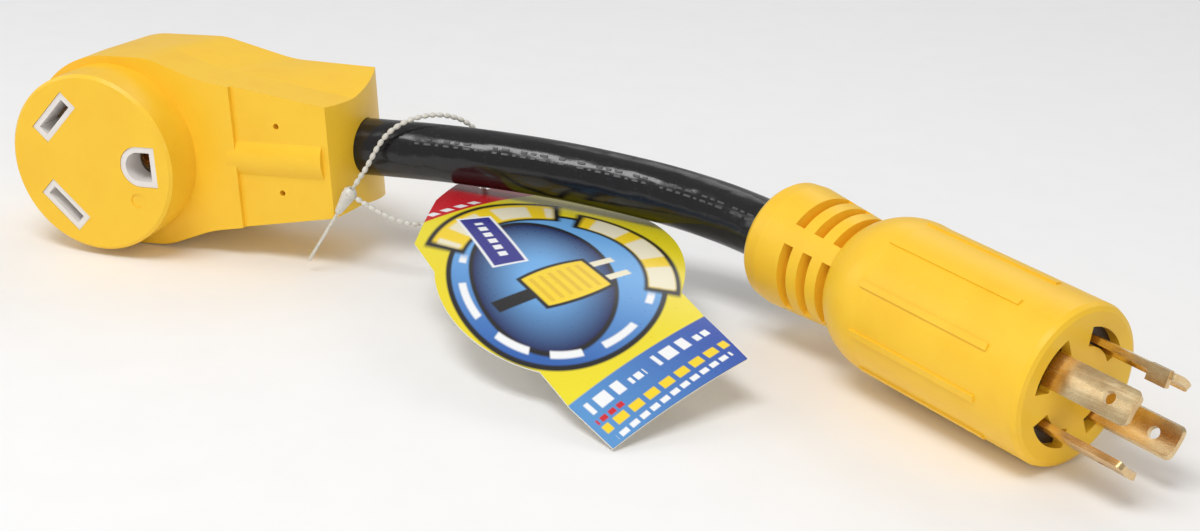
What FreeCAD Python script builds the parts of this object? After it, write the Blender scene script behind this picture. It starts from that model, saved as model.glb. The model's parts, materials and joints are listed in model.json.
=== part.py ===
# Power adapter dogbone: a right-angle travel-trailer socket and a four-blade locking plug on a short cord.
#
# Three local frames are used, and each sub-part is modelled in one of them and then placed:
#   socket frame  X towards the cord, Y from the face into the housing, Z up, origin at the face's centre
#   plug frame    X out of the face along the blades, origin at the face's centre
#   tag frame     X along the cord, Y away to the back, Z up from the sheet, origin on the cord's axis
# The adapter lies on its side on a flat surface at Z 0.

import FreeCAD, Part
import math
import os
import re

import Sketcher
from FreeCAD import Placement, Rotation, Vector

os.makedirs("parts", exist_ok=True)
doc = FreeCAD.newDocument("power_adapter_dogbone")

# --------------------------------------------------------------------------- driving dimensions

DIMENSIONS = [
    # where the pieces lie
    ("origin_x", 143.4, "middle of the footprint from the socket face's centre, along the cord"),
    ("origin_y", -7.0, "middle of the footprint from the socket face"),
    ("socket_height", 29.2, "height of the socket face's centre"),
    ("socket_pitch", 3.4, "rise of the cord's exit, degrees"),
    ("plug_x", 290.4, "plug face's centre from the socket face's centre"),
    ("plug_y", -33.0, "plug face's centre from the socket face"),
    ("plug_turn", 33.6, "turn of the plug towards the front, degrees"),
    ("plug_pitch", 3.0, "rise of the plug's rear, degrees"),
    ("plug_roll", 8.0, "turn of the plug about its own axis, degrees"),
    # socket housing
    ("face_radius", 27.0, "round face"),
    ("face_depth", 14.0, "round face in front of the grip"),
    ("head_radius", 29.2, "round end of the grip"),
    ("grip_crease", 28.0, "depth of the crease along the flanks"),
    ("grip_back", 51.0, "depth of the grip's back"),
    ("shoulder_x", 14.0, "where the front outline leaves the head"),
    ("waist_x", 30.0, "where the front outline turns along the neck"),
    ("waist_half", 23.4, "half height there"),
    ("neck_half", 15.7, "half height of the front outline at grip_reach"),
    ("back_radius", 27.4, "round end at the back"),
    ("back_shoulder_x", 21.0, "where the back outline leaves the head"),
    ("back_waist_x", 45.0, "where the back outline turns along the neck"),
    ("back_waist_half", 21.2, "half height there"),
    ("back_neck_half", 20.2, "half height of the back outline at grip_reach"),
    ("shoulder_curve_grip", 22.0, "rounding of the shoulders"),
    ("waist_curve", 36.0, "rounding of the waists"),
    ("grip_reach", 78.0, "length of the grip before its end is cut"),
    ("end_edge", 69.2, "where the end's curve starts, front and back"),
    ("end_crown", 74.0, "the end's furthest point"),
    ("panel_start", 40.5, "step down to the thumb panel"),
    ("panel_drop", 1.4, "depth of that step"),
    ("ridge_radius", 8.4, "round ridge along the panel"),
    ("ridge_rise", 1.7, "ridge above the panel"),
    ("pin_x", 54.3, "moulding pin holes along the neck"),
    ("pin_z", 10.2, "moulding pin holes from the middle"),
    ("pin_radius", 0.9, "moulding pin hole"),
    ("exit_y", 34.0, "depth of the cord's axis"),
    # contacts and their carrier
    ("wall", 3.0, "moulded wall in front of the carriers"),
    ("carrier_radius", 21.0, "socket contact carrier"),
    ("carrier_depth", 20.0, "its thickness"),
    ("slot_x", -10.8, "blade slots from the centre"),
    ("slot_z", 13.6, "blade slots from the middle"),
    ("collar_long", 16.0, "slot collar"),
    ("collar_wide", 6.6, "slot collar"),
    ("slot_long", 12.4, "blade slot"),
    ("slot_wide", 3.2, "blade slot"),
    ("ground_flat", 22.0, "flat side of the earth collar"),
    ("ground_half", 6.2, "half height of the earth collar"),
    ("ground_mid", 16.2, "centre of the earth collar's round side"),
    ("ground_rim", 1.8, "collar round the earth slot"),
    ("strip", 1.2, "contact strip"),
    ("contact_long", 10.6, "blade contact"),
    # cord
    ("cord_diameter", 17.0, "jacket"),
    ("core_circle", 3.15, "circle of the three conductors"),
    ("core_radius", 2.6, "insulated conductor"),
    ("copper_radius", 1.45, "stranded copper"),
    ("jacket_in_socket", 12.0, "jacket held inside the socket housing"),
    ("jacket_in_plug", 20.0, "jacket held inside the plug"),
    ("barrel_radius", 2.4, "crimp barrel"),
    # plug
    ("plug_radius", 21.2, "barrel of the plug"),
    ("plug_length", 102.0, "face to the boot's rear"),
    ("barrel_length", 54.0, "face to the shoulder"),
    ("boot_front", 71.0, "face to the boot's front"),
    ("boot_neck", 15.6, "boot radius in front"),
    ("boot_radius", 17.4, "boot radius at the rear"),
    ("shoulder_curve", 21.0, "curve of the shoulder"),
    ("boot_gap", 3.3, "width of a flex slot"),
    ("boot_pitch", 6.8, "spacing of the flex slots"),
    ("boot_cut", 3.4, "depth of a flex slot"),
    ("window_in", 10.6, "inner radius of the blade windows"),
    ("window_out", 15.6, "outer radius of the blade windows"),
    ("window_span", 58.0, "angle of a window, degrees"),
    ("blade_circle", 12.3, "radius of the blades' middle"),
    ("blade_thick", 1.7, "blade"),
    ("blade_span", 40.0, "angle of a blade, degrees"),
    ("blade_reach", 23.0, "blade in front of the face"),
    ("blade_hole_x", 16.4, "hole in the blade"),
    ("blade_hole_radius", 1.6, "hole in the blade"),
    ("rib_count", 10, "grip ribs"),
    # hang tag
    ("tag_bend", 175.0, "radius of the curled card"),
    ("tag_crest", -22.0, "crest of the curl from the cord's axis"),
    ("tag_gap", 9.3, "top of the card below the cord's axis"),
    ("tag_thick", 0.5, "card"),
    ("tag_hole_x", -20.6, "hole in the card, along the cord"),
    ("tag_hole_y", 4.2, "hole in the card, behind the cord's axis"),
    ("tag_hole_radius", 2.0, "hole in the card"),
    ("tie_diameter", 1.3, "strand of the tie"),
    ("lock_length", 8.8, "drop-shaped lock of the tie"),
    ("lock_radius", 2.1, "its widest radius"),
]

sheet = doc.addObject("Spreadsheet::Sheet", "Dims")
ALIASES = set()
for row, (alias, value, meaning) in enumerate(DIMENSIONS, start=1):
    sheet.set("A%d" % row, meaning)
    sheet.set("B%d" % row, str(value))
    sheet.setAlias("B%d" % row, alias)
    ALIASES.add(alias)
probe = doc.addObject("App::FeaturePython", "Probe")
doc.recompute()

NODES = []


def formula(text):
    """The expression with each driving dimension's name pointed at the sheet."""
    point = lambda match: "Dims." + match.group() if match.group() in ALIASES else match.group()
    return re.sub(r"[A-Za-z_][A-Za-z0-9_]*", point, str(text))


def val(text):
    """What an expression of driving dimensions comes to now."""
    result = probe.evalExpression(formula(text))
    return float(getattr(result, "Value", result))


def bind(thing, path, text):
    thing.setExpression(path, formula(text))


# --------------------------------------------------------------------------- sketches and features


def new_body(label):
    body = doc.addObject("PartDesign::Body", label)
    body.Label = label
    NODES.append(body)
    return body


def origin_item(body, role):
    return next(item for item in body.Origin.OriginFeatures if item.Role == role)


def sketch(body, name, role, height="0"):
    """A sketch on one of the body's origin planes, moved along the plane's normal."""
    drawing = body.newObject("Sketcher::SketchObject", body.Name + "_" + name)
    drawing.AttachmentSupport = [(origin_item(body, role), "")]
    drawing.MapMode = "FlatFace"
    bind(drawing, "AttachmentOffset.Base.z", height)
    return drawing


def circle(drawing, radius, x="0", y="0"):
    """A circle with its radius and centre bound to the sheet."""
    centre = Vector(val(x), val(y), 0)
    item = drawing.addGeometry(Part.Circle(centre, Vector(0, 0, 1), val(radius)), False)
    for kind, places, text in (
        ("Radius", (item,), radius),
        ("DistanceX", (-1, 1, item, 3), x),
        ("DistanceY", (-1, 1, item, 3), y),
    ):
        rule = drawing.addConstraint(Sketcher.Constraint(kind, *places, val(text)))
        bind(drawing, "Constraints[%d]" % rule, text)


def arc_between(start, end, radius):
    """Arc of an anticlockwise outline: a positive radius bulges out of it, a negative one into it."""
    chord = end.sub(start)
    lift = math.sqrt(max(radius * radius - chord.Length ** 2 / 4, 0))
    side = Vector(-chord.y, chord.x, 0).normalize() * math.copysign(lift, radius)
    centre = (start + end) * 0.5 + side
    first, last = (start, end) if radius > 0 else (end, start)
    angles = [math.atan2(p.y - centre.y, p.x - centre.x) for p in (first, last)]
    if angles[1] <= angles[0]:
        angles[1] += 2 * math.pi
    return Part.ArcOfCircle(Part.Circle(centre, Vector(0, 0, 1), abs(radius)), *angles)


def loop(drawing, corners):
    """A closed anticlockwise outline. A third value in a corner is the radius of the arc that leaves it."""
    points = [Vector(val(corner[0]), val(corner[1]), 0) for corner in corners]
    ends = []
    for place, corner in enumerate(corners):
        start, end = points[place], points[(place + 1) % len(points)]
        if len(corner) == 3:
            item = drawing.addGeometry(arc_between(start, end, val(corner[2])), False)
            ends.append((item, 1, 2) if val(corner[2]) > 0 else (item, 2, 1))
            rule = drawing.addConstraint(Sketcher.Constraint("Radius", item, abs(val(corner[2]))))
            bind(drawing, "Constraints[%d]" % rule, "abs(%s)" % corner[2])
        else:
            item = drawing.addGeometry(Part.LineSegment(start, end), False)
            ends.append((item, 1, 2))
    for place, (item, first, last) in enumerate(ends):
        after, after_first, _ = ends[(place + 1) % len(ends)]
        drawing.addConstraint(Sketcher.Constraint("Coincident", item, last, after, after_first))
        for kind, text in (("DistanceX", corners[place][0]), ("DistanceY", corners[place][1])):
            rule = drawing.addConstraint(Sketcher.Constraint(kind, -1, 1, item, first, val(text)))
            bind(drawing, "Constraints[%d]" % rule, text)


def rectangle(drawing, left, bottom, right, top):
    loop(drawing, [(left, bottom), (right, bottom), (right, top), (left, top)])


def slanted(drawing, x, y, long, wide, angle):
    """A rectangle round (x, y) whose long side stands at an angle in degrees."""
    corners = []
    for along, across in ((1, -1), (1, 1), (-1, 1), (-1, -1)):
        u = "%d * (%s) / 2" % (along, long)
        v = "%d * (%s) / 2" % (across, wide)
        corners.append((
            "(%s) + (%s) * cos(%s) - (%s) * sin(%s)" % (x, u, angle, v, angle),
            "(%s) + (%s) * sin(%s) + (%s) * cos(%s)" % (y, u, angle, v, angle),
        ))
    loop(drawing, corners)


def earth_shape(drawing, rim):
    """The U of the earth slot: a flat side towards the cord and a round side away from it."""
    half = "ground_half - (%s)" % rim
    flat = "ground_flat - (%s)" % rim
    loop(drawing, [
        ("ground_mid", "-(%s)" % half),
        (flat, "-(%s)" % half),
        (flat, half),
        ("ground_mid", half, half),
        ("ground_mid - (%s)" % half, "0", half),
    ])


def sector(drawing, inner, outer, span, turn="0"):
    """A piece of a ring round the origin, centred at an angle from the sketch's first axis."""
    def corner(radius, side, *arc):
        angle = "((%s) %s (%s) / 2)" % (turn, side, span)
        return ("(%s) * cos(%s)" % (radius, angle), "(%s) * sin(%s)" % (radius, angle)) + arc

    loop(drawing, [
        corner(inner, "-"),
        corner(outer, "-", outer),
        corner(outer, "+"),
        corner(inner, "+", "-(%s)" % inner),
    ])


def feature(body, kind, drawing, length=None, reverse=False, middle=False):
    """A pad, pocket, revolution or groove of a sketch."""
    item = body.newObject("PartDesign::" + kind, drawing.Name + "_" + kind.lower())
    item.Profile = drawing
    if kind in ("Pad", "Pocket"):
        bind(item, "Length", length)
        item.Midplane = middle
    else:
        item.ReferenceAxis = (drawing, ["H_Axis"])
        bind(item, "Angle", length or "360")
        item.Midplane = middle
    item.Reversed = reverse
    drawing.Visibility = False
    return item


def around(body, original, count, axis="X_Axis"):
    """Repeats a feature round one of the body's axes."""
    pattern = body.newObject("PartDesign::PolarPattern", original.Name + "_round")
    pattern.Originals = [original]
    pattern.Axis = (origin_item(body, axis), [""])
    pattern.Angle = 360
    bind(pattern, "Occurrences", count)
    body.Tip = pattern
    return pattern


def soften(body, radius, chosen, kind="Fillet"):
    """Rounds the edges of the body's last feature that a test picks out."""
    doc.recompute()
    base = body.Tip
    names = ["Edge%d" % n for n, edge in enumerate(base.Shape.Edges, start=1) if chosen(edge)]
    if not names:
        raise RuntimeError("no edge to soften on " + body.Label)
    item = body.newObject("PartDesign::" + kind, "%s_%s_%d" % (body.Name, kind.lower(), len(body.Group)))
    item.Base = (base, names)
    bind(item, "Radius" if kind == "Fillet" else "Size", radius)
    body.Tip = item
    return item


def middle_of(edge):
    first, last = edge.ParameterRange
    return edge.valueAt((first + last) / 2)


def all_points(edge, test):
    """Whether both ends and the middle of an edge pass a test."""
    points = [vertex.Point for vertex in edge.Vertexes] + [middle_of(edge)]
    return all(test(point) for point in points)


# --------------------------------------------------------------------------- placements

shift = Vector(-val("origin_x"), -val("origin_y"), 0)
socket_place = Placement(
    Vector(0, 0, val("socket_height")) + shift,
    Rotation(Vector(0, 1, 0), -val("socket_pitch")),
)
plug_aim = Rotation(Vector(0, 0, 1), -val("plug_turn")) * Rotation(Vector(0, 1, 0), val("plug_pitch"))
plug_centre = Vector(val("plug_x"), val("plug_y"), val("plug_radius") * math.cos(math.radians(val("plug_pitch"))))
plug_place = Placement(plug_centre + shift, plug_aim * Rotation(Vector(1, 0, 0), val("plug_roll")))


def from_socket(x, y, z):
    return socket_place.multVec(Vector(x, y, z))


def from_plug(x):
    """A point on the plug's axis."""
    return plug_place.multVec(Vector(x, 0, 0))


# --------------------------------------------------------------------------- socket housing


def grip_outline(drawing, head, shoulder, waist, waist_half, neck_half):
    """The grip seen from the front: a round head, two rounded shoulders and a tapering neck."""
    fall = "atan((%s - %s) / (%s - %s))" % (head, waist_half, waist, shoulder)
    taper = "atan((%s - %s) / (grip_reach - %s))" % (waist_half, neck_half, waist)
    out = "shoulder_curve_grip * tan(%s / 2)" % fall
    turn = "waist_curve * tan((%s - %s) / 2)" % (fall, taper)
    upper = [
        ("grip_reach", neck_half),
        ("%s + %s * cos(%s)" % (waist, turn, taper), "%s - %s * sin(%s)" % (waist_half, turn, taper), "-waist_curve"),
        ("%s - %s * cos(%s)" % (waist, turn, fall), "%s + %s * sin(%s)" % (waist_half, turn, fall)),
        ("%s + %s * cos(%s)" % (shoulder, out, fall), "%s - %s * sin(%s)" % (head, out, fall), "shoulder_curve_grip"),
        ("%s - %s" % (shoulder, out), head),
        ("0", head, head),
        ("-(%s)" % head, "0", head),
    ]
    lower = [("0", "-(%s)" % head)]
    for place in (4, 3, 2, 1, 0):
        x, z = upper[place][:2]
        arc = {4: ("shoulder_curve_grip",), 2: ("-waist_curve",)}.get(place, ())
        lower.append((x, "-(%s)" % z) + arc)
    loop(drawing, upper + lower)


def make_socket_housing():
    body = new_body("socket_housing")
    front = sketch(body, "front", "XZ_Plane", "-face_depth")
    grip_outline(front, "head_radius", "shoulder_x", "waist_x", "waist_half", "neck_half")
    crease = sketch(body, "crease", "XZ_Plane", "-grip_crease")
    grip_outline(crease, "head_radius - 0.4", "shoulder_x", "waist_x", "waist_half", "neck_half")
    back = sketch(body, "back", "XZ_Plane", "-grip_back")
    grip_outline(back, "back_radius", "back_shoulder_x", "back_waist_x", "back_waist_half", "back_neck_half")
    grip = body.newObject("PartDesign::AdditiveLoft", "grip")
    grip.Profile = front
    grip.Sections = [crease, back]
    grip.Ruled = True

    # the end of the grip is crowned
    crown = sketch(body, "crown", "XY_Plane")
    rise = "(end_crown - end_edge)"
    half = "((grip_back - face_depth) / 2)"
    loop(crown, [
        ("end_edge", "face_depth - 2"),
        ("grip_reach + 9", "face_depth - 2"),
        ("grip_reach + 9", "grip_back + 2"),
        ("end_edge", "grip_back + 2", "-(%s ^ 2 + (%s + 2) ^ 2) / (2 * %s)" % (rise, half, rise)),
    ])
    feature(body, "Pocket", crown, "100", middle=True)

    # thumb panel, a little lower than the head, with a round ridge along its middle
    panel = sketch(body, "panel", "XZ_Plane", "-face_depth + 1")
    rectangle(panel, "panel_start", "-40", "grip_reach", "40")
    feature(body, "Pocket", panel, "panel_drop + 1")
    ridge = sketch(body, "ridge", "YZ_Plane", "panel_start - 3")
    circle(ridge, "ridge_radius", "face_depth + panel_drop - ridge_rise + ridge_radius")
    feature(body, "Pad", ridge, "end_edge - panel_start + 2.4")
    soften(body, "1.8", lambda edge: all_points(edge, lambda p: p.y > val("grip_back") - 0.05), "Chamfer")
    pins = sketch(body, "pins", "XZ_Plane", "-face_depth")
    circle(pins, "pin_radius", "pin_x", "pin_z")
    circle(pins, "pin_radius", "pin_x", "-pin_z")
    feature(body, "Pocket", pins, "4")

    # round face
    face = sketch(body, "face", "XZ_Plane")
    circle(face, "face_radius")
    feature(body, "Pad", face, "face_depth + 3", reverse=True)
    soften(body, "0.9", lambda edge: all_points(edge, lambda p: abs(p.y) < 0.01), "Chamfer")
    mark = sketch(body, "ejector", "XZ_Plane")
    circle(mark, "2.25", "14.6", "-10.5")
    feature(body, "Pocket", mark, "0.3")

    # openings in the face for the three collars, and the room behind it for the carrier
    collars = sketch(body, "collars", "XZ_Plane")
    slanted(collars, "slot_x", "slot_z", "collar_long", "collar_wide", "45")
    slanted(collars, "slot_x", "-slot_z", "collar_long", "collar_wide", "-45")
    earth_shape(collars, "0")
    feature(body, "Pocket", collars, "wall + 1")
    room = sketch(body, "room", "XZ_Plane", "-wall")
    circle(room, "carrier_radius + 0.15")
    feature(body, "Pocket", room, "carrier_depth + 19")
    channel = sketch(body, "channel", "YZ_Plane", "end_edge - jacket_in_socket + 4.8")
    circle(channel, "12", "exit_y - 1.5")
    feature(body, "Pocket", channel, "end_edge - jacket_in_socket")
    outlet = sketch(body, "outlet", "YZ_Plane", "grip_reach + 5")
    circle(outlet, "cord_diameter / 2 + 0.05", "exit_y")
    feature(body, "Pocket", outlet, "grip_reach - 45")
    body.Placement = socket_place
    return body


def make_carrier():
    body = new_body("socket_carrier")
    disc = sketch(body, "disc", "XZ_Plane", "-wall - 0.1")
    circle(disc, "carrier_radius")
    feature(body, "Pad", disc, "carrier_depth", reverse=True)
    collars = sketch(body, "collars", "XZ_Plane", "-0.25")
    slanted(collars, "slot_x", "slot_z", "collar_long - 0.2", "collar_wide - 0.2", "45")
    slanted(collars, "slot_x", "-slot_z", "collar_long - 0.2", "collar_wide - 0.2", "-45")
    earth_shape(collars, "0.1")
    feature(body, "Pad", collars, "wall + 1", reverse=True)
    slots = sketch(body, "slots", "XZ_Plane")
    slanted(slots, "slot_x", "slot_z", "slot_long", "slot_wide", "45")
    slanted(slots, "slot_x", "-slot_z", "slot_long", "slot_wide", "-45")
    earth_shape(slots, "ground_rim")
    feature(body, "Pocket", slots, "8")
    # chambers from behind, each a little wider than the contact that sits in it
    chambers = sketch(body, "chambers", "XZ_Plane", "-wall - carrier_depth - 1")
    slanted(chambers, "slot_x", "slot_z", "slot_long", "7.4", "45")
    slanted(chambers, "slot_x", "-slot_z", "slot_long", "7.4", "-45")
    rectangle(chambers, "ground_mid - 5.6", "-5.6", "ground_mid + 4.2", "5.6")
    feature(body, "Pocket", chambers, "carrier_depth - 4", reverse=True)
    body.Placement = socket_place
    return body


def make_blade_contact(label, side):
    """A clip of two leaves behind one slanted slot, with a strap to the crimp on its conductor."""
    body = new_body(label)
    angle = "%d * 45" % side
    z = "%d * slot_z" % side
    leaves = sketch(body, "leaves", "XZ_Plane", "-wall - 6")
    for across in (1, -1):
        offset = "%d * (slot_wide + strip - 1) / 2" % across
        slanted(leaves, "slot_x - (%s) * sin(%s)" % (offset, angle), "%s + (%s) * cos(%s)" % (z, offset, angle),
                "contact_long", "strip", angle)
    feature(body, "Pad", leaves, "carrier_depth - 7", reverse=True)
    bridge = sketch(body, "bridge", "XZ_Plane", "-wall - carrier_depth + 1.5")
    slanted(bridge, "slot_x", z, "contact_long", "slot_wide + 2 * strip - 1", angle)
    feature(body, "Pad", bridge, "strip", reverse=True)
    post = sketch(body, "post", "XZ_Plane", "-wall - carrier_depth + 1.5")
    slanted(post, "slot_x", z, "5", "strip", "0")
    feature(body, "Pad", post, "exit_y - wall - carrier_depth + 3.2", reverse=True)
    # strap in the cord's plane, from the post to the crimp barrel
    reach = "(36 - slot_x)"
    fall = "(%s - %d * core_circle * 0.866)" % (z, side)
    strap = sketch(body, "strap", "XZ_Plane", "-exit_y - core_circle / 2 + strip / 2")
    slanted(strap, "(36 + slot_x) / 2", "(%s + %d * core_circle * 0.866) / 2" % (z, side),
            "sqrt(%s ^ 2 + %s ^ 2)" % (reach, fall), "5", "-atan(%s / %s)" % (fall, reach))
    feature(body, "Pad", strap, "strip", reverse=True)
    barrel = sketch(body, "barrel", "YZ_Plane", "34")
    circle(barrel, "barrel_radius", "exit_y + core_circle / 2", "%d * core_circle * 0.866" % side)
    feature(body, "Pad", barrel, "9")
    bore = sketch(body, "bore", "YZ_Plane", "44")
    circle(bore, "copper_radius + 0.02", "exit_y + core_circle / 2", "%d * core_circle * 0.866" % side)
    feature(body, "Pocket", bore, "8")
    body.Placement = socket_place
    return body


def make_earth_contact():
    """A U-shaped sleeve for the round earth pin, with its own strap and crimp."""
    body = new_body("socket_earth_contact")
    sleeve = sketch(body, "sleeve", "XZ_Plane", "-wall - 6")
    circle(sleeve, "4.4", "ground_mid - 0.4")
    feature(body, "Pad", sleeve, "carrier_depth - 7", reverse=True)
    bore = sketch(body, "bore", "XZ_Plane", "-wall - 5")
    circle(bore, "3.5", "ground_mid - 0.4")
    feature(body, "Pocket", bore, "carrier_depth - 7")
    slit = sketch(body, "slit", "XZ_Plane", "-wall - 5")
    rectangle(slit, "ground_mid", "-0.8", "ground_mid + 9", "0.8")
    feature(body, "Pocket", slit, "carrier_depth - 9")
    post = sketch(body, "post", "XZ_Plane", "-wall - carrier_depth + 2.5")
    slanted(post, "ground_mid - 0.4", "0", "5", "strip", "0")
    feature(body, "Pad", post, "exit_y - core_circle - wall - carrier_depth + 3.1", reverse=True)
    strap = sketch(body, "strap", "XZ_Plane", "-exit_y + core_circle + strip / 2")
    rectangle(strap, "ground_mid - 2.5", "-2.2", "36", "2.2")
    feature(body, "Pad", strap, "strip", reverse=True)
    barrel = sketch(body, "barrel", "YZ_Plane", "34")
    circle(barrel, "barrel_radius", "exit_y - core_circle")
    feature(body, "Pad", barrel, "9")
    hole = sketch(body, "hole", "YZ_Plane", "44")
    circle(hole, "copper_radius + 0.02", "exit_y - core_circle")
    feature(body, "Pocket", hole, "8")
    body.Placement = socket_place
    return body


# --------------------------------------------------------------------------- plug


def make_plug_housing():
    body = new_body("plug_housing")
    profile = sketch(body, "profile", "XY_Plane")
    loop(profile, [
        ("-plug_length", "0"),
        ("0", "0"),
        ("0", "plug_radius - 1.8"),
        ("-0.5", "plug_radius - 0.6"),
        ("-1.8", "plug_radius"),
        ("-barrel_length", "plug_radius", "shoulder_curve"),
        ("-boot_front", "boot_neck"),
        ("-plug_length + 6", "boot_radius"),
        ("-plug_length + 2", "boot_radius - 0.4"),
        ("-plug_length + 0.6", "boot_radius - 1.3"),
        ("-plug_length", "boot_radius - 2.7"),
    ])
    feature(body, "Revolution", profile)

    # three rows of flex slots round the boot, broken by four solid strips
    slots = sketch(body, "flex", "XY_Plane")
    for place in range(3):
        start = "-boot_front - 2.9 - %d * boot_pitch" % place
        rectangle(slots, start, "boot_neck - boot_cut + 0.4 * %d" % place, "%s + boot_gap" % start, "boot_radius + 4")
    cut = feature(body, "Groove", slots, "70", middle=True)
    around(body, cut, "4")

    rib = sketch(body, "rib", "YZ_Plane", "-13")
    rectangle(rib, "plug_radius - 1.5", "-0.9", "plug_radius + 0.5", "0.9")
    bar = feature(body, "Pad", rib, "barrel_length - 13 + 1", reverse=True)
    around(body, bar, "rib_count")

    window = sketch(body, "window", "YZ_Plane")
    sector(window, "window_in", "window_out", "window_span", "45")
    opening = feature(body, "Pocket", window, "wall + 1")
    around(body, opening, "4")

    # room for the blade carrier and the wiring, narrowing to the cord
    room = sketch(body, "room", "XY_Plane")
    loop(room, [
        ("-plug_length - 5", "0"),
        ("-wall", "0"),
        ("-wall", "17.15"),
        ("-36", "17.15"),
        ("-46", "10"),
        ("-plug_length + jacket_in_plug + 3", "10"),
        ("-plug_length + jacket_in_plug + 3", "cord_diameter / 2 + 0.05"),
        ("-plug_length - 5", "cord_diameter / 2 + 0.05"),
    ])
    feature(body, "Groove", room)
    body.Placement = plug_place
    return body


def make_blade_carrier():
    body = new_body("plug_carrier")
    disc = sketch(body, "disc", "YZ_Plane", "-wall - 0.1")
    circle(disc, "17")
    feature(body, "Pad", disc, "18", reverse=True)
    slot = sketch(body, "slot", "YZ_Plane", "-wall")
    sector(slot, "blade_circle - blade_thick / 2 - 0.06", "blade_circle + blade_thick / 2 + 0.06", "blade_span + 0.6")
    cut = feature(body, "Pocket", slot, "30")
    around(body, cut, "4")
    body.Placement = plug_place.multiply(Placement(Vector(), Rotation(Vector(1, 0, 0), 45)))
    return body


def make_blade(label, angle, conductor=None):
    """One curved blade, drawn on the plug frame's Y axis and then turned to its place."""
    body = new_body(label)
    section = sketch(body, "section", "YZ_Plane", "blade_reach")
    sector(section, "blade_circle - blade_thick / 2", "blade_circle + blade_thick / 2", "blade_span")
    feature(body, "Pad", section, "blade_reach + 26", reverse=True)
    hole = sketch(body, "hole", "XZ_Plane")
    circle(hole, "blade_hole_radius", "blade_hole_x")
    feature(body, "Pocket", hole, "40", middle=True)
    tip = val("blade_reach")
    soften(body, "1.6", lambda edge: all_points(edge, lambda p: p.x > tip - 0.01) and edge.Length < 2.5)
    if label == "plug_earth_blade":
        # the hook of the locking earth blade, turned in from one long edge at the tip
        hook = sketch(body, "hook", "YZ_Plane", "blade_reach - 1.2")
        slanted(hook, "blade_circle * cos(blade_span / 2) - 0.9", "blade_circle * sin(blade_span / 2) - 0.1",
                "4.2", "blade_thick", "20")
        feature(body, "Pad", hook, "5.6", reverse=True)
    if conductor is not None:
        # strap behind the carrier to a crimp barrel that points at its conductor
        turn = conductor - angle
        across = "core_circle * sin(%g)" % turn
        inward = "core_circle * cos(%g)" % turn
        strap = sketch(body, "strap", "YZ_Plane", "-24")
        run = "(blade_circle - %s)" % inward
        slanted(strap, "(blade_circle + %s) / 2" % inward, "(%s) / 2" % across,
                "sqrt(%s ^ 2 + (%s) ^ 2)" % (run, across), "4", "-atan((%s) / %s)" % (across, run))
        feature(body, "Pad", strap, "1.4", reverse=True)
        barrel = sketch(body, "barrel", "YZ_Plane", "-24")
        circle(barrel, "barrel_radius", inward, across)
        feature(body, "Pad", barrel, "13", reverse=True)
        bore = sketch(body, "bore", "YZ_Plane", "-38")
        circle(bore, "copper_radius + 0.02", inward, across)
        feature(body, "Pocket", bore, "9", reverse=True)
    body.Placement = plug_place.multiply(Placement(Vector(), Rotation(Vector(1, 0, 0), angle)))
    return body


# --------------------------------------------------------------------------- cord


def rounded_route(points):
    """Straight runs joined by tangent arcs: each arc is as large as its two runs allow."""
    edges = []
    radii = []
    last = points[0]
    for before, corner, after in zip(points, points[1:], points[2:]):
        back = before.sub(corner)
        ahead = after.sub(corner)
        turn = math.pi - back.getAngle(ahead)
        reach = 0.45 * min(back.Length, ahead.Length)
        radius = reach / math.tan(turn / 2)
        back.normalize()
        ahead.normalize()
        start = corner + back * reach
        end = corner + ahead * reach
        inward = back + ahead
        inward.normalize()
        apex = corner + inward * (radius / math.cos(turn / 2) - radius)
        edges.append(Part.LineSegment(last, start).toShape())
        edges.append(Part.Arc(start, apex, end).toShape())
        radii.append(radius)
        last = end
    edges.append(Part.LineSegment(last, points[-1]).toShape())
    return Part.Wire(edges), radii


def swept(points, path, radius, sides=0):
    """A round or many-sided section carried along a path from its first point."""
    aim = points[1].sub(points[0])
    ring = Part.Wire(Part.Circle(points[0], aim, radius).toShape())
    if sides:
        corners = ring.discretize(sides + 1)
        ring = Part.makePolygon(corners[:-1] + corners[:1])
    pipe = Part.BRepOffsetAPI.MakePipeShell(path)
    pipe.setFrenetMode(False)
    pipe.add(ring)
    pipe.build()
    pipe.makeSolid()
    return pipe.shape()


def free_part(label, shape):
    """A piece whose shape is worked out from the sheet's values here."""
    part = doc.addObject("Part::Feature", label)
    part.Label = label
    part.Shape = shape
    NODES.append(part)
    return part


socket_exit = val("end_crown")
socket_end = from_socket(val("end_edge") + 4.8 - val("jacket_in_socket"), val("exit_y"), 0)
boot_rear = -val("plug_length")
plug_end = from_plug(boot_rear + val("jacket_in_plug"))
cord_route = [
    socket_end,
    from_socket(socket_exit + 16, val("exit_y"), 0),
    Vector(121, 37.0, 33.5) + shift,
    Vector(143, 38.3, 31.9) + shift,
    Vector(172, 36.9, 29.3) + shift,
    from_plug(boot_rear - 8),
    plug_end,
]
cord_path, cord_radii = rounded_route(cord_route)
print("cord radii", [round(radius, 1) for radius in cord_radii], "length", round(cord_path.Length, 1))


def core_end(place, tip_x, end_x, angle, along):
    """An insulated conductor standing out of the jacket's end, bare where it enters its crimp barrel."""
    across = Vector(0, math.cos(math.radians(angle)), math.sin(math.radians(angle))) * val("core_circle")
    side = 1 if tip_x > end_x else -1
    aim = Vector(side, 0, 0)
    bare = 8.5
    core = Part.makeCylinder(val("core_radius"), abs(tip_x - end_x) - bare, Vector(end_x, along, 0) + across, aim)
    start = Vector(tip_x - side * bare, along, 0) + across
    copper = Part.makeCylinder(val("copper_radius"), bare, start, aim)
    ends = core.fuse(copper)
    ends.Placement = place
    return ends


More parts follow.
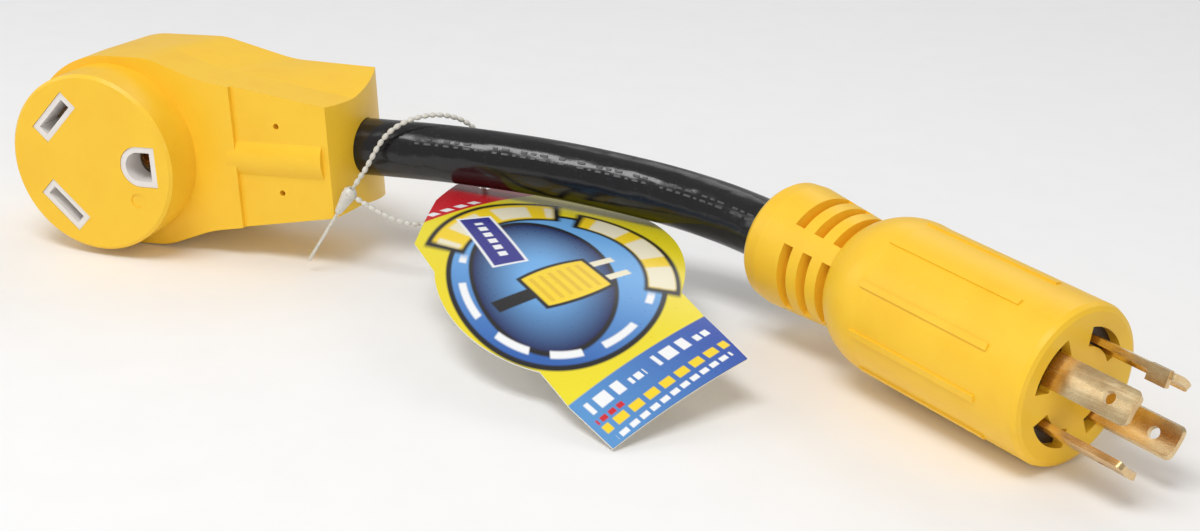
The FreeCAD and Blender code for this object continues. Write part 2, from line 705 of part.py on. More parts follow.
def make_jacket():
    """The moulded cord in one piece, with the three conductors' ends standing out of it."""
    shape = swept(cord_route, cord_path, val("cord_diameter") / 2)
    section = math.pi * (val("cord_diameter") / 2) ** 2
    print("cord volume", round(shape.Volume), "section times length", round(section * cord_path.Length))
    jacket_start = val("end_edge") + 4.8 - val("jacket_in_socket")
    jacket_stop = boot_rear + val("jacket_in_plug")
    for angle in (60, -60, 180):
        shape = shape.fuse(core_end(socket_place, 36, jacket_start + 1, angle, val("exit_y")))
    for angle in (22, 142, 262):
        shape = shape.fuse(core_end(plug_place, -29.3, jacket_stop - 1, angle, 0))
    return free_part("cord_jacket", shape.removeSplitter())


# --------------------------------------------------------------------------- hang tag and tie

tag_axis = Vector(0.9978, 0.0269, -0.0608)
tag_side = Vector(0, 0, 1).cross(tag_axis).normalize()
tag_up = tag_axis.cross(tag_side)
tag_centre = Vector(130.4, 36.0, 32.0) + shift
tag_place = Placement(tag_centre, Rotation(tag_axis, tag_side, tag_up, "XYZ"))


def make_tag():
    """A printed card, curled over the length that stands under the cord."""
    outline = doc.addObject("Sketcher::SketchObject", "tag_outline")
    loop(outline, [
        ("26", "8"),
        ("-24", "8"),
        ("-28.4", "2"),
        ("-27.4", "-17"),
        ("-21.6", "-46.3"),
        ("-11", "-57.5", "46"),
        ("29.5", "-85.6"),
        ("40.4", "-94"),
        ("54.8", "-102.4"),
        ("78", "-67"),
        ("63", "-53.8"),
        ("54", "-44.6", "75"),
        ("29", "3.5"),
    ])
    circle(outline, "tag_hole_radius", "tag_hole_x", "tag_hole_y")
    block = doc.addObject("Part::Extrusion", "tag_block")
    block.Base = outline
    block.DirMode = "Custom"
    block.Dir = Vector(0, 0, -1)
    block.LengthFwd = 60
    block.Solid = True
    card = doc.addObject("Part::Cylinder", "tag_curl")
    bind(card, "Radius", "tag_bend")
    card.Height = 160
    hollow = doc.addObject("Part::Cylinder", "tag_curl_inside")
    bind(hollow, "Radius", "tag_bend - tag_thick")
    hollow.Height = 160
    for item in (card, hollow):
        item.Placement = Placement(
            Vector(-60, val("tag_crest"), -val("tag_gap") + val("tag_crest") ** 2 / 2 / val("tag_bend") - val("tag_bend")),
            Rotation(Vector(0, 1, 0), 90),
        )
    curl = doc.addObject("Part::Cut", "tag_sheet")
    curl.Base = card
    curl.Tool = hollow
    tag = doc.addObject("Part::MultiCommon", "hang_tag")
    tag.Shapes = [block, curl]
    tag.Label = "hang_tag"
    tag.Placement = tag_place
    NODES.append(tag)
    return tag


# the tie's strand in the tag frame: from the lock under the card, up through its hole, round the cord
# and down through the lock to its loose end
tie_route = [
    Vector(-51.1, -20.6, -10.5),
    Vector(-41.0, -21.3, -14.6),
    Vector(-31.5, -18.5, -16.4),
    Vector(-25.0, -9.6, -15.6),
    Vector(-21.5, -1.8, -13.2),
    Vector(val("tag_hole_x"), val("tag_hole_y"), -10.1),
    Vector(-21.2, 9.2, -6.3),
    Vector(-23.2, 11.6, -0.8),
    Vector(-26.0, 11.0, 4.8),
    Vector(-30.2, 7.6, 9.0),
    Vector(-35.4, 2.6, 11.0),
    Vector(-40.6, -2.4, 10.6),
    Vector(-45.0, -7.0, 8.4),
    Vector(-48.2, -10.2, 4.4),
    Vector(-50.2, -12.6, -0.2),
    Vector(-50.3, -15.6, -3.2),
    Vector(-50.9, -20.6, -5.6),
    Vector(-64.7, -22.2, -32.3),
]


def make_tie():
    path, radii = rounded_route(tie_route)
    print("tie radii", [round(radius, 1) for radius in radii], "length", round(path.Length, 1))
    tie = free_part("tag_tie", swept(tie_route, path, val("tie_diameter") / 2, sides=6))
    tie.Placement = tag_place
    return tie


def make_lock():
    """A drop-shaped lock, bored for the strand that runs through it."""
    body = new_body("tie_lock")
    profile = sketch(body, "profile", "XY_Plane")
    loop(profile, [
        ("lock_length", "tie_diameter / 2 + 0.1"),
        ("lock_length", "tie_diameter / 2 + 0.4"),
        ("2.6", "lock_radius"),
        ("1.0", "lock_radius - 0.1"),
        ("0", "lock_radius - 0.9"),
        ("0", "tie_diameter / 2 + 0.1"),
    ])
    feature(body, "Revolution", profile)
    aim = tie_route[-1].sub(tie_route[-2]).normalize()
    head = tie_route[-2] + aim * 2.6
    body.Placement = tag_place.multiply(Placement(head, Rotation(Vector(1, 0, 0), aim)))
    return body


make_socket_housing()
make_carrier()
make_blade_contact("socket_hot_contact", 1)
make_blade_contact("socket_neutral_contact", -1)
make_earth_contact()
make_plug_housing()
make_blade_carrier()
make_blade("plug_earth_blade", 45, 22)
make_blade("plug_line_blade", 135, 142)
make_blade("plug_neutral_blade", 225, 262)
make_blade("plug_spare_line_blade", 315)
make_jacket()
make_tag()
make_tie()
make_lock()

doc.recompute()
for item in doc.Objects:
    if "Invalid" in item.State or "Error" in item.State:
        raise RuntimeError("%s is %s" % (item.Name, item.State))
for node in NODES:
    shape = node.Shape
    if shape.isNull() or not shape.isValid():
        raise RuntimeError("%s has no valid shape" % node.Label)
    box = shape.BoundBox
    print(node.Label, "solids", len(shape.Solids), "volume", round(shape.Volume, 1),
          "x %.1f %.1f y %.1f %.1f z %.1f %.1f" % (box.XMin, box.XMax, box.YMin, box.YMax, box.ZMin, box.ZMax))
    shape.exportStep("parts/%s.step" % node.Label)
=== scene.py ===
"""Looks of the power adapter dogbone.

Moulded yellow ends, a glossy black cord, and a curled printed tag on a beaded tie. The rigid pieces
are the frame's own nodes with materials on them. The cord and the tie are made here.
"""

import json
import math

import bmesh
import bpy
from mathutils import Matrix, Vector


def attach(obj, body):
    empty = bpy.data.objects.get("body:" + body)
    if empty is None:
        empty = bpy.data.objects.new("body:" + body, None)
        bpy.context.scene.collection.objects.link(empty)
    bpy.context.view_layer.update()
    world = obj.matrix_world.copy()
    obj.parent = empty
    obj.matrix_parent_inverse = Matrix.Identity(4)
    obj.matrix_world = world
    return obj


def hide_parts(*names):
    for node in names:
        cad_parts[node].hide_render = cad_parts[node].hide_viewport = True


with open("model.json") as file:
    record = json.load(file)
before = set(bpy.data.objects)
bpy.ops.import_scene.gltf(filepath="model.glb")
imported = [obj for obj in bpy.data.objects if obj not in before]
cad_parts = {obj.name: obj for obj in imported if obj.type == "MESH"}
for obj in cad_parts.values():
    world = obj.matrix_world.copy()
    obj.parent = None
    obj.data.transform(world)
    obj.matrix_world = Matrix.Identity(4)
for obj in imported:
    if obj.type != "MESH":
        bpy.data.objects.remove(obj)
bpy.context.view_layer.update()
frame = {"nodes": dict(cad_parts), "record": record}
MM = 0.001
UP = Vector((0, 0, 1))

# The card's own frame: X along the cord, Y away to the back, Z up from the print.
TAG_CENTRE = Vector((-13.0, 43.0, 32.0)) * MM
TAG_X = Vector((0.9978, 0.0269, -0.0608)).normalized()
TAG_Y = UP.cross(TAG_X).normalized()
TAG_Z = TAG_X.cross(TAG_Y)

# The card is curled about a line along its X. Millimetres, in the card's frame.
CARD_RADIUS = 175.0  # of the printed side
CARD_CREST = -22.0  # highest line of the curl, along Y
CARD_GAP = 9.3  # from the cord's axis down to the card
CARD_DEPTH = CARD_RADIUS + CARD_GAP - CARD_CREST ** 2 / (2 * CARD_RADIUS)

# The cord's route, in millimetres: out of the grip, over in one long bow and down into the boot.
CORD_ROUTE = [
    (-81.509, 41.0, 32.877),
    (-53.558, 41.0, 34.538),
    (-22.4, 44.0, 33.5),
    (-0.4, 45.3, 31.9),
    (28.6, 43.9, 29.3),
    (55.504, 34.789, 26.928),
    (78.794, 19.316, 25.463),
]
CORD_DIAMETER = 0.017

# Raised strokes on the jacket, in metres.
MARKS_FROM_START = 0.030
MARKS_FROM_END = 0.026
MARK_LENGTHS = (0.0016, 0.0024, 0.0012, 0.0020)
MARK_GAP = 0.0011
MARK_TALL = 0.0021  # height of a whole character
MARK_PROUD = 0.00022
MARK_SUNK = 0.00005
MARK_LEAN = math.radians(38)  # how far up from the front of the jacket the strokes sit
MARKS_IN_GROUP = 9
MARK_LEFT_OUT = 7

# The tie's strand in the card's frame, in millimetres: from the lock, through the card's hole,
# round behind the cord and back through the lock.
TIE_ROUTE = [
    (-51.1, -20.6, -10.5),
    (-41.0, -21.3, -14.6),
    (-31.5, -18.5, -16.4),
    (-25.0, -9.6, -15.6),
    (-21.5, -1.8, -13.2),
    (-20.6, 4.2, -10.1),
    (-21.2, 9.2, -6.3),
    (-23.2, 11.6, -0.8),
    (-26.0, 11.0, 4.8),
    (-30.2, 7.6, 9.0),
    (-35.4, 2.6, 11.0),
    (-40.6, -2.4, 10.6),
    (-45.0, -7.0, 8.4),
    (-48.2, -10.2, 4.4),
    (-50.3, -15.6, -3.2),
    (-50.9, -20.6, -5.6),
    (-64.7, -22.2, -32.3),
]
BEAD_PITCH = 0.0023
BEAD_NECK = 0.00034  # radius between beads
BEAD_SWELL = 0.00046  # added at a bead's middle
TIE_TAIL = 0.0285  # plain end after the lock
TAIL_RADIUS = 0.00048
STATIONS_PER_BEAD = 12
TIE_SIDES = 12


def on_card(x, y, z):
    """A point of the card's frame, in millimetres, as a place in the row frame."""
    return TAG_CENTRE + (TAG_X * x + TAG_Y * y + TAG_Z * z) * MM


# ------------------------------------------------------------------------------ shader building


class Field:
    """A number over a surface: arithmetic on it adds Math nodes to the material."""

    def __init__(self, tree, socket):
        self.tree = tree
        self.socket = socket

    def math(self, operation, *others, clamp=False):
        node = self.tree.nodes.new("ShaderNodeMath")
        node.operation = operation
        node.use_clamp = clamp
        self.tree.links.new(self.socket, node.inputs[0])
        for place, other in enumerate(others, start=1):
            if isinstance(other, Field):
                self.tree.links.new(other.socket, node.inputs[place])
            else:
                node.inputs[place].default_value = other
        return Field(self.tree, node.outputs[0])

    def __add__(self, other):
        return self.math("ADD", other)

    def __sub__(self, other):
        return self.math("SUBTRACT", other)

    def __mul__(self, other):
        return self.math("MULTIPLY", other)

    def less(self, edge, blur):
        """1 where the field is under edge, 0 where it is over, with a soft step of width blur."""
        return ((self - edge) * (-1 / blur)).math("ADD", 0.5, clamp=True)

    def over(self, edge, blur):
        """1 where the field is over edge, 0 where it is under."""
        return ((self - edge) * (1 / blur)).math("ADD", 0.5, clamp=True)

    def band(self, low, high, blur):
        """1 between two values."""
        return self.over(low, blur) * self.less(high, blur)

    def blocks(self, rate, edge, blur):
        """Even blocks with gaps: rate is in radians per unit, and a lower edge makes them longer."""
        return (self * rate).math("SINE").over(edge, blur)


class Paint:
    """One node material with a Principled shader, and short calls for what its surface needs."""

    def __init__(self, name, colour, **values):
        self.material = bpy.data.materials.new(name)
        self.material.use_nodes = True
        self.material.diffuse_color = (*colour, 1)
        self.tree = self.material.node_tree
        self.shader = self.tree.nodes["Principled BSDF"]
        self.shader.inputs["Base Color"].default_value = (*colour, 1)
        for key, value in values.items():
            self.shader.inputs[key.replace("_", " ")].default_value = value
        self.coordinates = self.tree.nodes.new("ShaderNodeTexCoord").outputs["Object"]
        self.relief = None

    def link(self, source, target):
        self.tree.links.new(source, target)

    def noise(self, scale, detail, stretch=(1, 1, 1)):
        """Cloudy values from 0 to 1; scale is in features per metre."""
        mapping = self.tree.nodes.new("ShaderNodeMapping")
        mapping.inputs["Scale"].default_value = stretch
        self.link(self.coordinates, mapping.inputs["Vector"])
        noise = self.tree.nodes.new("ShaderNodeTexNoise")
        noise.inputs["Scale"].default_value = scale
        noise.inputs["Detail"].default_value = detail
        noise.inputs["Roughness"].default_value = 0.55
        self.link(mapping.outputs["Vector"], noise.inputs["Vector"])
        return Field(self.tree, noise.outputs["Fac"])

    def along(self, origin, axis):
        """Distance along an axis from a point, in millimetres."""
        away = self.tree.nodes.new("ShaderNodeVectorMath")
        away.operation = "SUBTRACT"
        away.inputs[1].default_value = origin
        self.link(self.coordinates, away.inputs[0])
        dot = self.tree.nodes.new("ShaderNodeVectorMath")
        dot.operation = "DOT_PRODUCT"
        dot.inputs[1].default_value = axis / MM
        self.link(away.outputs[0], dot.inputs[0])
        return Field(self.tree, dot.outputs["Value"])

    def mixed(self, field, low, high):
        """A colour that goes from low to high with a field."""
        mix = self.tree.nodes.new("ShaderNodeMix")
        mix.data_type = "RGBA"
        self.link(field.socket, mix.inputs["Factor"])
        for socket, colour in (("A", low), ("B", high)):
            target = next(i for i in mix.inputs if i.name == socket and i.type == "RGBA")
            if isinstance(colour, bpy.types.NodeSocket):
                self.link(colour, target)
            else:
                target.default_value = (*colour, 1)
        return next(item for item in mix.outputs if item.type == "RGBA")

    def base(self, colour_socket):
        self.link(colour_socket, self.shader.inputs["Base Color"])

    def rough(self, field, low, high):
        self.link((field * (high - low) + low).socket, self.shader.inputs["Roughness"])

    def bump(self, field, height):
        """Adds relief, with its height in metres."""
        bump = self.tree.nodes.new("ShaderNodeBump")
        bump.inputs["Distance"].default_value = height
        bump.inputs["Strength"].default_value = 1.0
        self.link(field.socket, bump.inputs["Height"])
        if self.relief is not None:
            self.link(self.relief, bump.inputs["Normal"])
        self.relief = bump.outputs["Normal"]
        self.link(self.relief, self.shader.inputs["Normal"])


# ------------------------------------------------------------------------------ plain materials


def yellow_moulding():
    """Soft moulded vinyl: deep warm yellow with faint flow clouds, scuffs and a fine grain."""
    paint = Paint("yellow_moulding", (0.95, 0.45, 0.003), IOR=1.45)
    paint.shader.inputs["Specular IOR Level"].default_value = 0.4
    clouds = paint.noise(38, 4.0)
    scuffs = paint.noise(420, 5.0, stretch=(1, 1, 0.35))
    flow = clouds.band(0.3, 0.7, 0.35)
    colour = paint.mixed(flow, (0.89, 0.50, 0.022), (0.94, 0.575, 0.034))
    colour = paint.mixed(scuffs.over(0.71, 0.08) * 0.35, colour, (0.96, 0.66, 0.12))
    paint.base(colour)
    paint.rough(scuffs, 0.27, 0.45)
    paint.bump(paint.noise(1500, 2.0), 0.000025)
    paint.bump(clouds, 0.00025)
    return paint.material


def pale_insulator():
    """Hard pale insulator of the socket's collars."""
    paint = Paint("pale_insulator", (0.80, 0.76, 0.72))
    grain = paint.noise(260, 4.0)
    paint.base(paint.mixed(grain, (0.72, 0.67, 0.63), (0.86, 0.83, 0.80)))
    paint.rough(grain, 0.4, 0.6)
    paint.bump(paint.noise(2200, 2.0), 0.00002)
    return paint.material


def dark_insulator():
    """Dark brown insulator behind the blades."""
    paint = Paint("dark_insulator", (0.03, 0.017, 0.012))
    grain = paint.noise(300, 4.0)
    paint.base(paint.mixed(grain, (0.014, 0.008, 0.006), (0.05, 0.026, 0.016)))
    paint.rough(grain, 0.35, 0.55)
    paint.bump(paint.noise(1800, 2.0), 0.00003)
    return paint.material


def brass():
    """Rolled brass with long drawn lines, darker tarnish and small bright rubs."""
    paint = Paint("brass", (0.82, 0.60, 0.30), Metallic=1.0)
    lines = paint.noise(260, 4.0, stretch=(0.6, 0.8, 9))
    tarnish = paint.noise(120, 5.0)
    colour = paint.mixed(tarnish.over(0.52, 0.3), (0.90, 0.70, 0.40), (0.62, 0.40, 0.18))
    paint.base(paint.mixed(lines.over(0.68, 0.1) * 0.5, colour, (0.96, 0.82, 0.56)))
    paint.rough(lines, 0.16, 0.36)
    paint.bump(lines, 0.00003)
    return paint.material


def black_jacket():
    """Glossy black jacket with faint drawing lines, and the lay of the cores showing through."""
    paint = Paint("black_jacket", (0.010, 0.010, 0.011), IOR=1.5)
    dust = paint.noise(900, 4.0)
    ripple = paint.noise(55, 2.0, stretch=(1.0, 1.6, 1.6))
    dusty = dust.over(0.66, 0.12) * 0.5
    paint.base(paint.mixed(dusty, (0.008, 0.008, 0.009), (0.035, 0.035, 0.037)))
    paint.rough(dust, 0.1, 0.26)
    paint.bump(ripple, 0.0009)
    paint.bump(paint.noise(1300, 2.0, stretch=(0.3, 1, 1)), 0.00002)
    return paint.material


def clear_tie():
    """Milky clear plastic of the beaded tie."""
    paint = Paint("clear_tie", (0.82, 0.80, 0.72), IOR=1.5)
    paint.shader.inputs["Transmission Weight"].default_value = 0.25
    paint.shader.inputs["Subsurface Weight"].default_value = 0.3
    paint.shader.inputs["Subsurface Radius"].default_value = (0.002, 0.002, 0.0018)
    cloud = paint.noise(500, 3.0)
    paint.base(paint.mixed(cloud, (0.74, 0.70, 0.60), (0.88, 0.87, 0.82)))
    paint.rough(cloud, 0.2, 0.4)
    paint.bump(cloud, 0.00004)
    return paint.material


def jacket_mark():
    """The jacket's own black, a little greyer on the raised marks."""
    paint = Paint("jacket_mark", (0.03, 0.03, 0.032))
    wear = paint.noise(1500, 4.0)
    paint.base(paint.mixed(wear, (0.012, 0.012, 0.013), (0.10, 0.10, 0.105)))
    paint.rough(wear, 0.3, 0.5)
    paint.bump(wear, 0.00003)
    return paint.material


# ------------------------------------------------------------------------------ printed card

LEMON, AMBER, GOLD = (0.86, 0.77, 0.02), (0.80, 0.52, 0.02), (0.93, 0.66, 0.02)
NAVY, BLUE, SKY = (0.012, 0.02, 0.10), (0.03, 0.12, 0.42), (0.16, 0.42, 0.80)
INK, CREAM, WHITE = (0.012, 0.011, 0.012), (0.86, 0.80, 0.60), (0.88, 0.89, 0.90)
RED = (0.62, 0.02, 0.03)
BADGE_BLUE = (0.03, 0.03, 0.26)
FOOT_LIGHT, FOOT_DARK = (0.10, 0.30, 0.62), (0.03, 0.08, 0.40)
CARD_BACK = (0.80, 0.78, 0.70)

# Bars on the foot: from and to down the foot, from and to along it, rate of the blocks, colour.
FOOT_BARS = (
    (2.6, 6.6, 2, 13, 1.15, WHITE),
    (2.6, 6.6, 24, 35, 1.15, WHITE),
    (4.2, 6.4, 15, 20, 2.2, WHITE),
    (4.2, 6.4, 37, 42, 2.2, WHITE),
    (8.2, 9.8, 1, 10, 2.4, RED),
    (10.6, 13.2, 1, 42, 1.25, GOLD),
    (14.8, 16.4, 2, 40, 1.9, WHITE),
)


def turned(x, y, centre, cosine, sine):
    """Coordinates along and across a slanted line through a centre."""
    away_x, away_y = x - centre[0], y - centre[1]
    return away_x * cosine + away_y * sine, away_y * cosine - away_x * sine


def ellipse(x, y, centre, long, short, aim):
    """Distance from an ellipse's centre in units of its own radius, and the angle round it."""
    size = math.hypot(*aim)
    along, across = turned(x, y, centre, aim[0] / size, aim[1] / size)
    u, v = along * (1 / long), across * (1 / short)
    return (u * u + v * v).math("SQRT"), u.math("ARCTAN2", v)


def box(u, v, u_range, v_range, blur):
    """1 inside a rectangle of two coordinates."""
    return u.band(*u_range, blur) * v.band(*v_range, blur)


def picture_layers(paint, x, y, ring):
    """Round picture: dark rim, blue ring with plain segments, and a disc lighter in its middle."""
    disc, angle = ellipse(x, y, (17.3, -50.4), 32.4, 18.8, (0.51, -0.86))
    segments = ring.band(0.86, 0.93, 0.02) * angle.blocks(9.0, -0.35, 0.2) * y.less(-48, 3)
    return [
        (ring.less(1.04, 0.02), INK),
        (ring.less(0.99, 0.02), paint.mixed(y.over(-62, 40), BLUE, SKY)),
        (disc.less(1.03, 0.03), INK),
        (disc.less(0.97, 0.03), paint.mixed(disc.less(0.62, 0.7), NAVY, SKY)),
        (segments, WHITE),
    ]


def plug_layers(x, y):
    """Picture of a plug: a cord, two prongs and a rounded body with ribs."""
    along, across = turned(x, y, (24, -50), 0.62, 0.78)
    flat = across.math("ABSOLUTE")
    rounded = flat + along * along * 0.012
    outline = along.band(-11.2, 10.2, 0.6) * rounded.less(9.4, 0.6)
    body = along.band(-10, 9, 0.6) * rounded.less(8.2, 0.6)
    return [
        (along.band(-22, -8, 0.6) * flat.less(2.4, 0.6), INK),
        (along.band(8, 17, 0.6) * (flat - 4.0).math("ABSOLUTE").less(1.3, 0.5), CREAM),
        (outline, INK),
        (body, GOLD),
        (body * along.blocks(2.2, 0.2, 0.3) * flat.less(6, 0.8), AMBER),
    ]


def banner_layers(ring, bow):
    """Two plain banners that follow the ring, dark-edged, with blank blocks on them."""

    def stretch(inner, outer, start, end):
        return ring.band(inner, outer, 0.03) * bow.band(start, end, 0.05)

    edge = stretch(0.90, 1.30, -2.75, -1.35).math("MAXIMUM", stretch(0.82, 1.16, -1.2, 0.35))
    side = stretch(0.86, 1.11, -1.13, 0.28)
    face = stretch(0.94, 1.25, -2.68, -1.42).math("MAXIMUM", side)
    inside = ring.band(0.97, 1.2, 0.03).math("MAXIMUM", side)
    return [
        (edge, INK),
        (face, GOLD),
        (face * bow.blocks(13.0, -0.55, 0.3) * inside, CREAM),
    ]


def badge_layers(x, y):
    """Slanted blue badge with a white edge and a row of plain blocks."""
    u, v = turned(x, y, (-3, -36), 0.66, -0.75)
    return [
        (box(u, v, (-15, 15), (-5.2, 5.2), 0.5), WHITE),
        (box(u, v, (-14.2, 14.2), (-4.4, 4.4), 0.5), BADGE_BLUE),
        (box(u, v, (-11, 10), (-1.2, 1.2), 0.5) * u.blocks(1.6, -0.4, 0.3), WHITE),
    ]


def foot_layers(paint, x, y):
    """Blue foot with rows of plain bars."""
    along, across = turned(x, y, (40.4, -93.5), 0.49, 0.87)
    down = across * -1
    layers = [(down.over(0, 0.5), paint.mixed(along.over(22, 40), FOOT_LIGHT, FOOT_DARK))]
    for low, high, start, end, rate, colour in FOOT_BARS:
        bars = box(down, along, (low, high), (start, end), 0.4)
        layers.append((bars * along.blocks(rate, -0.62, 0.3), colour))
    return layers


def flash_layers(x, y):
    """Red flash across the corner, with a short broken line on it."""
    slant = x * 0.9 - y * 0.42
    line = (slant + 9.8).band(-1.0, 1.0, 0.4) * y.blocks(1.3, -0.3, 0.3)
    return [
        ((slant + 7.5).less(0, 0.5), RED),
        (line * y.band(-30, -12, 1.0), WHITE),
    ]


def printed_card():
    """Glossy printed card, laid up from its lemon ground to its top layer, with a plain back."""
    paint = Paint("printed_card", (0.85, 0.75, 0.03))
    x = paint.along(TAG_CENTRE, TAG_X)
    y = paint.along(TAG_CENTRE, TAG_Y)
    z = paint.along(TAG_CENTRE, TAG_Z)

    off_x, off_y = x - 20, y + 48
    middle = (off_x * off_x + off_y * off_y).math("SQRT")
    ring, bow = ellipse(x, y, (20.2, -47.8), 37.9, 28.3, (0.46, -0.89))
    colour = paint.mixed(middle.less(46, 34) * 0.35, LEMON, AMBER)
    for mask, ink in (
        picture_layers(paint, x, y, ring)
        + plug_layers(x, y)
        + banner_layers(ring, bow)
        + badge_layers(x, y)
        + foot_layers(paint, x, y)
        + flash_layers(x, y)
    ):
        colour = paint.mixed(mask, colour, ink)

    # The print is on the outside of the curl, so the distance from the curl's axis parts it
    # from the back.
    away_y, away_z = y - CARD_CREST, z + CARD_DEPTH
    reach = (away_y * away_y + away_z * away_z).math("SQRT")
    paint.base(paint.mixed(reach.over(CARD_RADIUS - 0.25, 0.05), CARD_BACK, colour))
    fibre = paint.noise(700, 4.0)
    paint.rough(fibre, 0.22, 0.38)
    paint.bump(fibre, 0.00002)
    paint.shader.inputs["Coat Weight"].default_value = 0.25
    paint.shader.inputs["Coat Roughness"].default_value = 0.18
    return paint.material


# ------------------------------------------------------------------------------ rigid pieces

MATERIALS = {
    "yellow_moulding": yellow_moulding(),
    "pale_insulator": pale_insulator(),
    "dark_insulator": dark_insulator(),
    "brass": brass(),
    "black_jacket": black_jacket(),
    "clear_tie": clear_tie(),
    "printed_card": printed_card(),
}


def give(obj, material):
    obj.data.materials.clear()
    obj.data.materials.append(material)


def shade_smooth(obj, angle):
    """Smooth shading that keeps edges sharper than an angle in degrees."""
    for polygon in obj.data.polygons:
        polygon.use_smooth = True
    obj.data.set_sharp_from_angle(angle=math.radians(angle))


for part in frame["record"]["subparts"]:
    node = frame["nodes"][part["node"]]
    give(node, MATERIALS[part["material_slot"]])
    shade_smooth(node, 32)


# ------------------------------------------------------------------------------ cord and tie


def add_object(name, data):
    obj = bpy.data.objects.new(name, data)
    bpy.context.scene.collection.objects.link(obj)
    return obj


def new_mesh(name, maker):
    """An object whose mesh is what maker builds in a bmesh."""
    mesh = bpy.data.meshes.new(name)
    work = bmesh.new()
    maker(work)
    bmesh.ops.recalc_face_normals(work, faces=work.faces)
    work.to_mesh(mesh)
    work.free()
    return add_object(name, mesh)


def spline(name, points, diameter):
    """A smooth NURBS curve with the route's points as its control points."""
    curve = bpy.data.curves.new(name, "CURVE")
    curve.dimensions = "3D"
    line = curve.splines.new("NURBS")
    line.points.add(len(points) - 1)
    for target, point in zip(line.points, points):
        target.co = (*point, 1)
    line.order_u = 3
    line.use_endpoint_u = True
    line.resolution_u = 24
    curve.bevel_depth = diameter / 2
    curve.bevel_resolution = 12
    curve.use_fill_caps = True
    return add_object(name, curve)


def traced(name, points):
    """Places along the smooth curve through a route, and each place's distance from the start."""
    guide = spline(name, points, 0)
    bpy.context.view_layer.update()
    evaluated = guide.evaluated_get(bpy.context.evaluated_depsgraph_get())
    mesh = bpy.data.meshes.new_from_object(evaluated)
    places = [vertex.co.copy() for vertex in mesh.vertices]
    bpy.data.meshes.remove(mesh)
    bpy.data.objects.remove(guide)
    run = [0.0]
    for before, after in zip(places, places[1:]):
        run.append(run[-1] + (after - before).length)
    return places, run


def place_at(places, run, distance):
    """The point and the direction at a distance along a traced line."""
    last = len(run) - 1
    index = next((i for i in range(1, last) if run[i] >= distance), last)
    step = places[index] - places[index - 1]
    share = (distance - run[index - 1]) / max(run[index] - run[index - 1], 1e-9)
    return places[index - 1] + step * share, step.normalized()


def tube(work, stations, sides):
    """A closed tube through stations of (point, direction, radius), with an untwisted section."""
    rings = []
    normal = stations[0][1].orthogonal().normalized()
    for point, aim, radius in stations:
        normal = (normal - aim * normal.dot(aim)).normalized()
        other = aim.cross(normal)
        ring = []
        for side in range(sides):
            turn = 2 * math.pi * side / sides
            out = normal * math.cos(turn) + other * math.sin(turn)
            ring.append(work.verts.new(point + out * radius))
        rings.append(ring)
    for first, second in zip(rings, rings[1:]):
        for side in range(sides):
            after = (side + 1) % sides
            work.faces.new((first[side], first[after], second[after], second[side]))
    work.faces.new(rings[0][::-1])
    work.faces.new(rings[-1])


cord_points = [Vector(point) * MM for point in CORD_ROUTE]
cord = spline("cord", cord_points, CORD_DIAMETER)
give(cord, MATERIALS["black_jacket"])
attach(cord, "adapter")
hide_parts("cord_jacket")


def mark_strokes(cord_run):
    """Start and length of each stroke along the cord, with one left out in each group."""
    strokes = []
    distance = MARKS_FROM_START
    step = 0
    while distance < cord_run - MARKS_FROM_END:
        long = MARK_LENGTHS[step % len(MARK_LENGTHS)]
        if step % MARKS_IN_GROUP != MARK_LEFT_OUT:
            strokes.append((distance, long))
        distance += long + MARK_GAP
        step += 1
    return strokes


def mark_frame(point, aim):
    """Frame on the jacket's upper front: X along the cord, Y up round the jacket, Z out of it."""
    across = aim.cross(UP).normalized()
    front = across if across.y < 0 else -across
    up = front.cross(aim)
    up = up if up.z > 0 else -up
    out = front * math.cos(MARK_LEAN) + up * math.sin(MARK_LEAN)
    rise = up * math.cos(MARK_LEAN) - front * math.sin(MARK_LEAN)
    base = point + out * (CORD_DIAMETER / 2 - MARK_SUNK)
    return Matrix((
        (aim.x, rise.x, out.x, base.x),
        (aim.y, rise.y, out.y, base.y),
        (aim.z, rise.z, out.z, base.z),
        (0, 0, 0, 1),
    ))


def raised_bar(work, matrix, long, low):
    """A small bar, narrower at its top; low is its lower edge as a share of a character."""
    corners = [
        (x * long / 2, (low + y * 0.3) * MARK_TALL, z)
        for z, grow in ((0, 1.0), (MARK_PROUD, 0.75))
        for x, y in ((-grow, 0), (grow, 0), (grow, 1), (-grow, 1))
    ]
    verts = [work.verts.new(matrix @ Vector(corner)) for corner in corners]
    work.faces.new(verts[4:])
    for side in range(4):
        after = (side + 1) % 4
        work.faces.new((verts[side], verts[after], verts[4 + after], verts[4 + side]))
    work.faces.new(verts[3::-1])


def cord_marks():
    """Raised marks along the upper front of the jacket: short plain strokes with gaps."""
    places, run = traced("cord_guide", cord_points)

    def make(work):
        for start, long in mark_strokes(run[-1]):
            matrix = mark_frame(*place_at(places, run, start + long / 2))
            for low in (-0.5, 0.18) if long > 0.0015 else (-0.5,):
                raised_bar(work, matrix, long, low)

    marks = new_mesh("cord_marks", make)
    give(marks, jacket_mark())
    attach(marks, "adapter")
    return marks


marks = cord_marks()


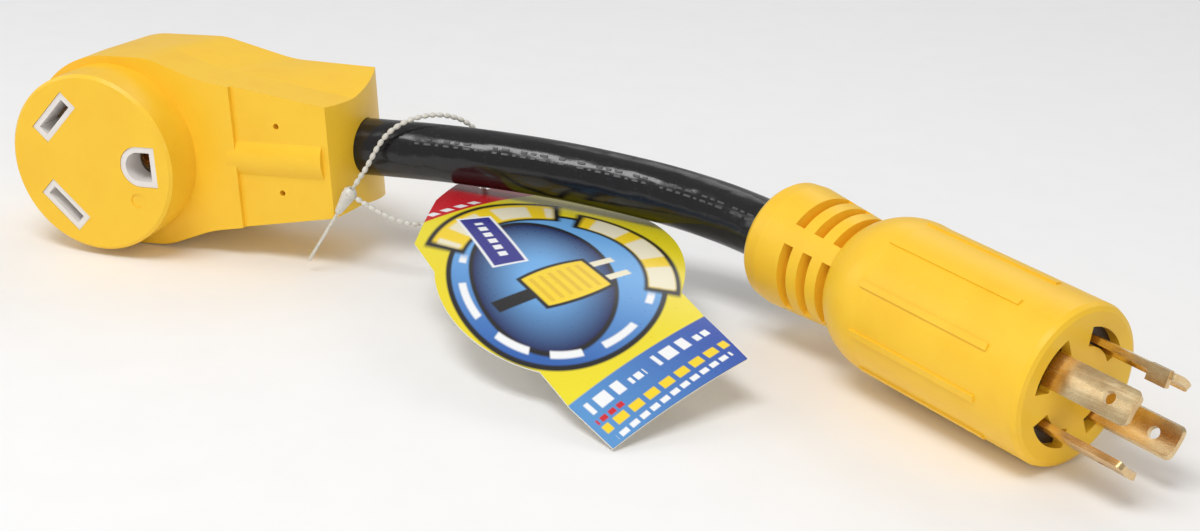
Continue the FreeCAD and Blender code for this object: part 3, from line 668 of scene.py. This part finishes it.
def beaded_tie():
    """A strand with small beads up to the lock, and a plain loose end after it."""
    places, run = traced("tie_guide", [on_card(*point) for point in TIE_ROUTE])
    beads_end = run[-1] - TIE_TAIL

    def radius_at(distance):
        if distance > beads_end:
            return TAIL_RADIUS
        swell = abs(math.sin(math.pi * distance / BEAD_PITCH)) ** 0.7
        return BEAD_NECK + BEAD_SWELL * swell

    def make(work):
        stations = []
        count = int(run[-1] / (BEAD_PITCH / STATIONS_PER_BEAD))
        for index in range(count + 1):
            distance = run[-1] * index / count
            point, aim = place_at(places, run, distance)
            stations.append((point, aim, radius_at(distance)))
        tube(work, stations, TIE_SIDES)

    tie = new_mesh("beaded_tie", make)
    shade_smooth(tie, 60)
    give(tie, MATERIALS["clear_tie"])
    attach(tie, "tag")
    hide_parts("tag_tie")


beaded_tie()


# ------------------------------------------------------------------------------ floor and light

FLOOR_HALF = 2.5
WORLD_STRENGTH = 0.42


def floor():
    """A wide sheet of near-white paper."""

    def make(work):
        bmesh.ops.create_grid(work, x_segments=1, y_segments=1, size=FLOOR_HALF)

    ground = new_mesh("floor", make)
    paint = Paint("floor_paper", (0.92, 0.92, 0.92))
    grain = paint.noise(60, 2.0)
    paint.base(paint.mixed(grain, (0.90, 0.90, 0.90), (0.93, 0.93, 0.93)))
    paint.rough(grain, 0.6, 0.7)
    give(ground, paint.material)


def softbox(name, place, aim, size, power):
    """An area light at a place, turned to a point, with its size in metres and power in watts."""
    light = bpy.data.lights.new(name, "AREA")
    light.shape = "RECTANGLE"
    light.size, light.size_y = size
    light.energy = power
    obj = add_object(name, light)
    obj.location = place
    obj.rotation_euler = (Vector(aim) - Vector(place)).to_track_quat("-Z", "Y").to_euler()


floor()
softbox("key", (-0.10, -0.45, 1.05), (0.02, 0, 0.03), (0.7, 0.35), 6.5)
softbox("front", (0.55, -1.05, 0.42), (0.05, 0, 0.03), (0.6, 0.3), 2.6)
softbox("left", (-0.95, -0.15, 0.55), (-0.05, 0, 0.03), (0.5, 0.6), 1.6)
softbox("back", (0.2, 0.9, 0.8), (0, 0, 0.03), (1.0, 0.5), 1.8)

world = bpy.data.worlds.new("studio")
world.use_nodes = True
background = world.node_tree.nodes["Background"]
background.inputs["Color"].default_value = (1, 1, 1, 1)
background.inputs["Strength"].default_value = WORLD_STRENGTH
bpy.context.scene.world = world
bpy.context.scene.view_settings.view_transform = "Standard"

# ------------------------------------------------------------------------------ camera

LENS = 56.99
SENSOR_WIDTH = 36
RIGHT = Vector((0.94296, 0.33247, 0.01681))
DOWN = Vector((0.13783, -0.34395, -0.92882))
AHEAD = Vector((-0.30302, 0.87816, -0.37016))
EYE = Vector((172.5, -446.0, 211.5)) * MM

camera_data = bpy.data.cameras.new("camera")
camera_data.lens = LENS
camera_data.sensor_width = SENSOR_WIDTH
camera_data.clip_start = 0.01
camera = add_object("camera", camera_data)
camera.matrix_world = Matrix((
    (RIGHT.x, -DOWN.x, -AHEAD.x, EYE.x),
    (RIGHT.y, -DOWN.y, -AHEAD.y, EYE.y),
    (RIGHT.z, -DOWN.z, -AHEAD.z, EYE.z),
    (0, 0, 0, 1),
))
bpy.context.scene.camera = camera
